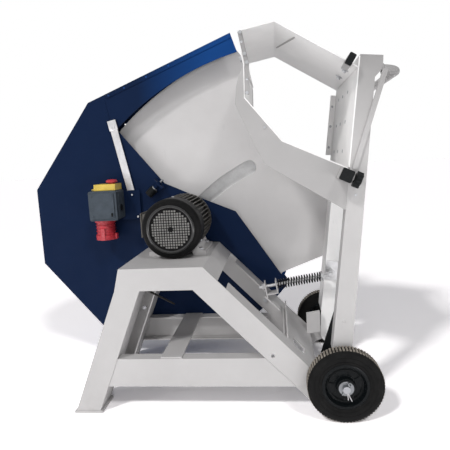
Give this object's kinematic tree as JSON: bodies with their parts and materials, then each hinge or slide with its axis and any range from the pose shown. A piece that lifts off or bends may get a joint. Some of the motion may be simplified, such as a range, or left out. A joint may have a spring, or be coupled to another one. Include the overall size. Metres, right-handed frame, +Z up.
{
  "type": "tilting log saw",
  "caption": "Stationary tilting log saw: folded steel stand on wheels, finned motor, hooded circular blade and a sprung rocking cradle that carries a log into it.",
  "frame": {"origin": "on the ground under the middle of the machine's bounding box", "axes": "+X from the blade hood to the push handle, +Y from the loading side to the blade side, +Z up"},
  "size_m": [1.1728, 0.616, 1.1117],
  "materials": {
    "zinc_sheet": "galvanised sheet",
    "pale_sheet": "light grey coat on folded sheet",
    "fasteners": "zinc plated",
    "blue_paint": "dark blue powder coat",
    "rim_blue": "blue powder coat, lit edge",
    "motor_black": "black enamel",
    "pale_plastic": "moulded, light grey",
    "blade_steel": "ground steel",
    "machined": "turned steel",
    "black_plastic": "moulded, fine grain",
    "tyre_rubber": "grey-black rubber",
    "yellow_plastic": "moulded",
    "red_plastic": "moulded",
    "green_plastic": "moulded",
    "contact_brass": "bright",
    "spring_steel": "blackened wire"
  },
  "bodies": {
    "base": {"top_plate": "pale_sheet", "left_legs": "pale_sheet", "right_legs": "pale_sheet", "bottom_rails": "pale_sheet", "cross_ties": "pale_sheet", "frame_plates": "pale_sheet", "frame_bolts": "fasteners", "axle": "fasteners", "hood_near_plate": "blue_paint", "hood_far_plate": "blue_paint", "hood_rim": "rim_blue", "brace_strap": "zinc_sheet", "switch_bracket": "blue_paint", "switch_box": "black_plastic", "power_inlet": "red_plastic", "inlet_pins": "contact_brass", "motor_body": "motor_black", "end_shield": "motor_black", "fan_cover": "motor_black", "terminal_box": "motor_black", "motor_bearings": "machined", "motor_bolts": "fasteners", "spring_bracket": "pale_sheet", "plunger_bracket": "blue_paint"},
    "rotor": {"motor_shaft": "machined", "cooling_fan": "pale_plastic", "blade_flanges": "machined", "saw_blade": "blade_steel"},
    "cradle": {"near_post": "pale_sheet", "far_post": "pale_sheet", "v_plate": "pale_sheet", "trough_floor": "pale_sheet", "right_wall": "pale_sheet", "top_arm": "pale_sheet", "side_straps": "pale_sheet", "guard_near_plate": "pale_sheet", "guard_far_plate": "pale_sheet", "guard_rim": "pale_sheet", "guard_spacers": "fasteners", "pivot_bushes": "fasteners", "push_handle": "pale_sheet", "support_tubes": "pale_sheet", "tube_plugs": "black_plastic", "cradle_bolts": "fasteners", "spring_clevis": "fasteners"},
    "spring_link": {"spring_rod": "fasteners", "return_spring": "spring_steel"},
    "support_bar": {"extension_bar": "pale_sheet", "bar_cap": "black_plastic"},
    "clamp_knob": {"star_knob": "black_plastic"},
    "near_wheel": {"near_tyre": "tyre_rubber", "near_hub": "black_plastic"},
    "far_wheel": {"far_tyre": "tyre_rubber", "far_hub": "black_plastic"},
    "plunger": {"lock_pin": "fasteners", "lock_knob": "black_plastic"},
    "flap": {"switch_flap": "yellow_plastic"},
    "stop": {"stop_button": "red_plastic"},
    "start": {"start_button": "green_plastic"},
    "off": {"off_button": "red_plastic"}
  },
  "joints": [
    {"name": "cradle_swing", "type": "hinge", "parent": "base", "child": "cradle", "pos_m": [0.42563, 0, 0.1], "axis": [0, -1, 0], "range_deg": [0, 25], "stiffness_Nm_per_rad": 120, "springref_deg": -60.16, "deforming": ["return_spring"]},
    {"name": "blade_spin", "type": "hinge", "parent": "base", "child": "rotor", "pos_m": [-0.04437, 0, 0.51], "axis": [0, 1, 0], "continuous": true},
    {"name": "near_wheel_roll", "type": "hinge", "parent": "base", "child": "near_wheel", "pos_m": [0.42563, -0.2725, 0.1], "axis": [0, 1, 0], "continuous": true},
    {"name": "far_wheel_roll", "type": "hinge", "parent": "base", "child": "far_wheel", "pos_m": [0.42563, 0.2725, 0.1], "axis": [0, 1, 0], "continuous": true},
    {"name": "spring_pivot", "type": "hinge", "parent": "cradle", "child": "spring_link", "pos_m": [0.42978, 0.035, 0.31987], "axis": [0, -1, 0], "range_deg": [-25, 0]},
    {"name": "bar_slide", "type": "slide", "parent": "cradle", "child": "support_bar", "axis": [0, -1, 0], "range_m": [0, 0.25]},
    {"name": "knob_turn", "type": "hinge", "parent": "cradle", "child": "clamp_knob", "pos_m": [0.43844, -0.259, 0.64891], "axis": [0.9031, 0, -0.4294], "continuous": true},
    {"name": "plunger_pull", "type": "slide", "parent": "base", "child": "plunger", "axis": [-0.7361, 0, -0.6769], "range_m": [0, 0.012], "stiffness_N_per_m": 900, "springref_m": -0.008},
    {"name": "flap_hinge", "type": "hinge", "parent": "base", "child": "flap", "pos_m": [-0.34987, 0.092, 0.624], "axis": [0, -1, 0], "range_deg": [0, 110]},
    {"name": "stop_press", "type": "slide", "parent": "flap", "child": "stop", "axis": [0, 0, -1], "range_m": [0, 0.004], "stiffness_N_per_m": 800, "springref_m": -0.004},
    {"name": "start_press", "type": "slide", "parent": "base", "child": "start", "axis": [0, 0, -1], "range_m": [0, 0.003], "stiffness_N_per_m": 800, "springref_m": -0.003},
    {"name": "off_press", "type": "slide", "parent": "base", "child": "off", "axis": [0, 0, -1], "range_m": [0, 0.003], "stiffness_N_per_m": 800, "springref_m": -0.003}
  ],
  "couplings": [
    {"joint": "spring_pivot", "follows": "cradle_swing", "ratio": -1}
  ]
}
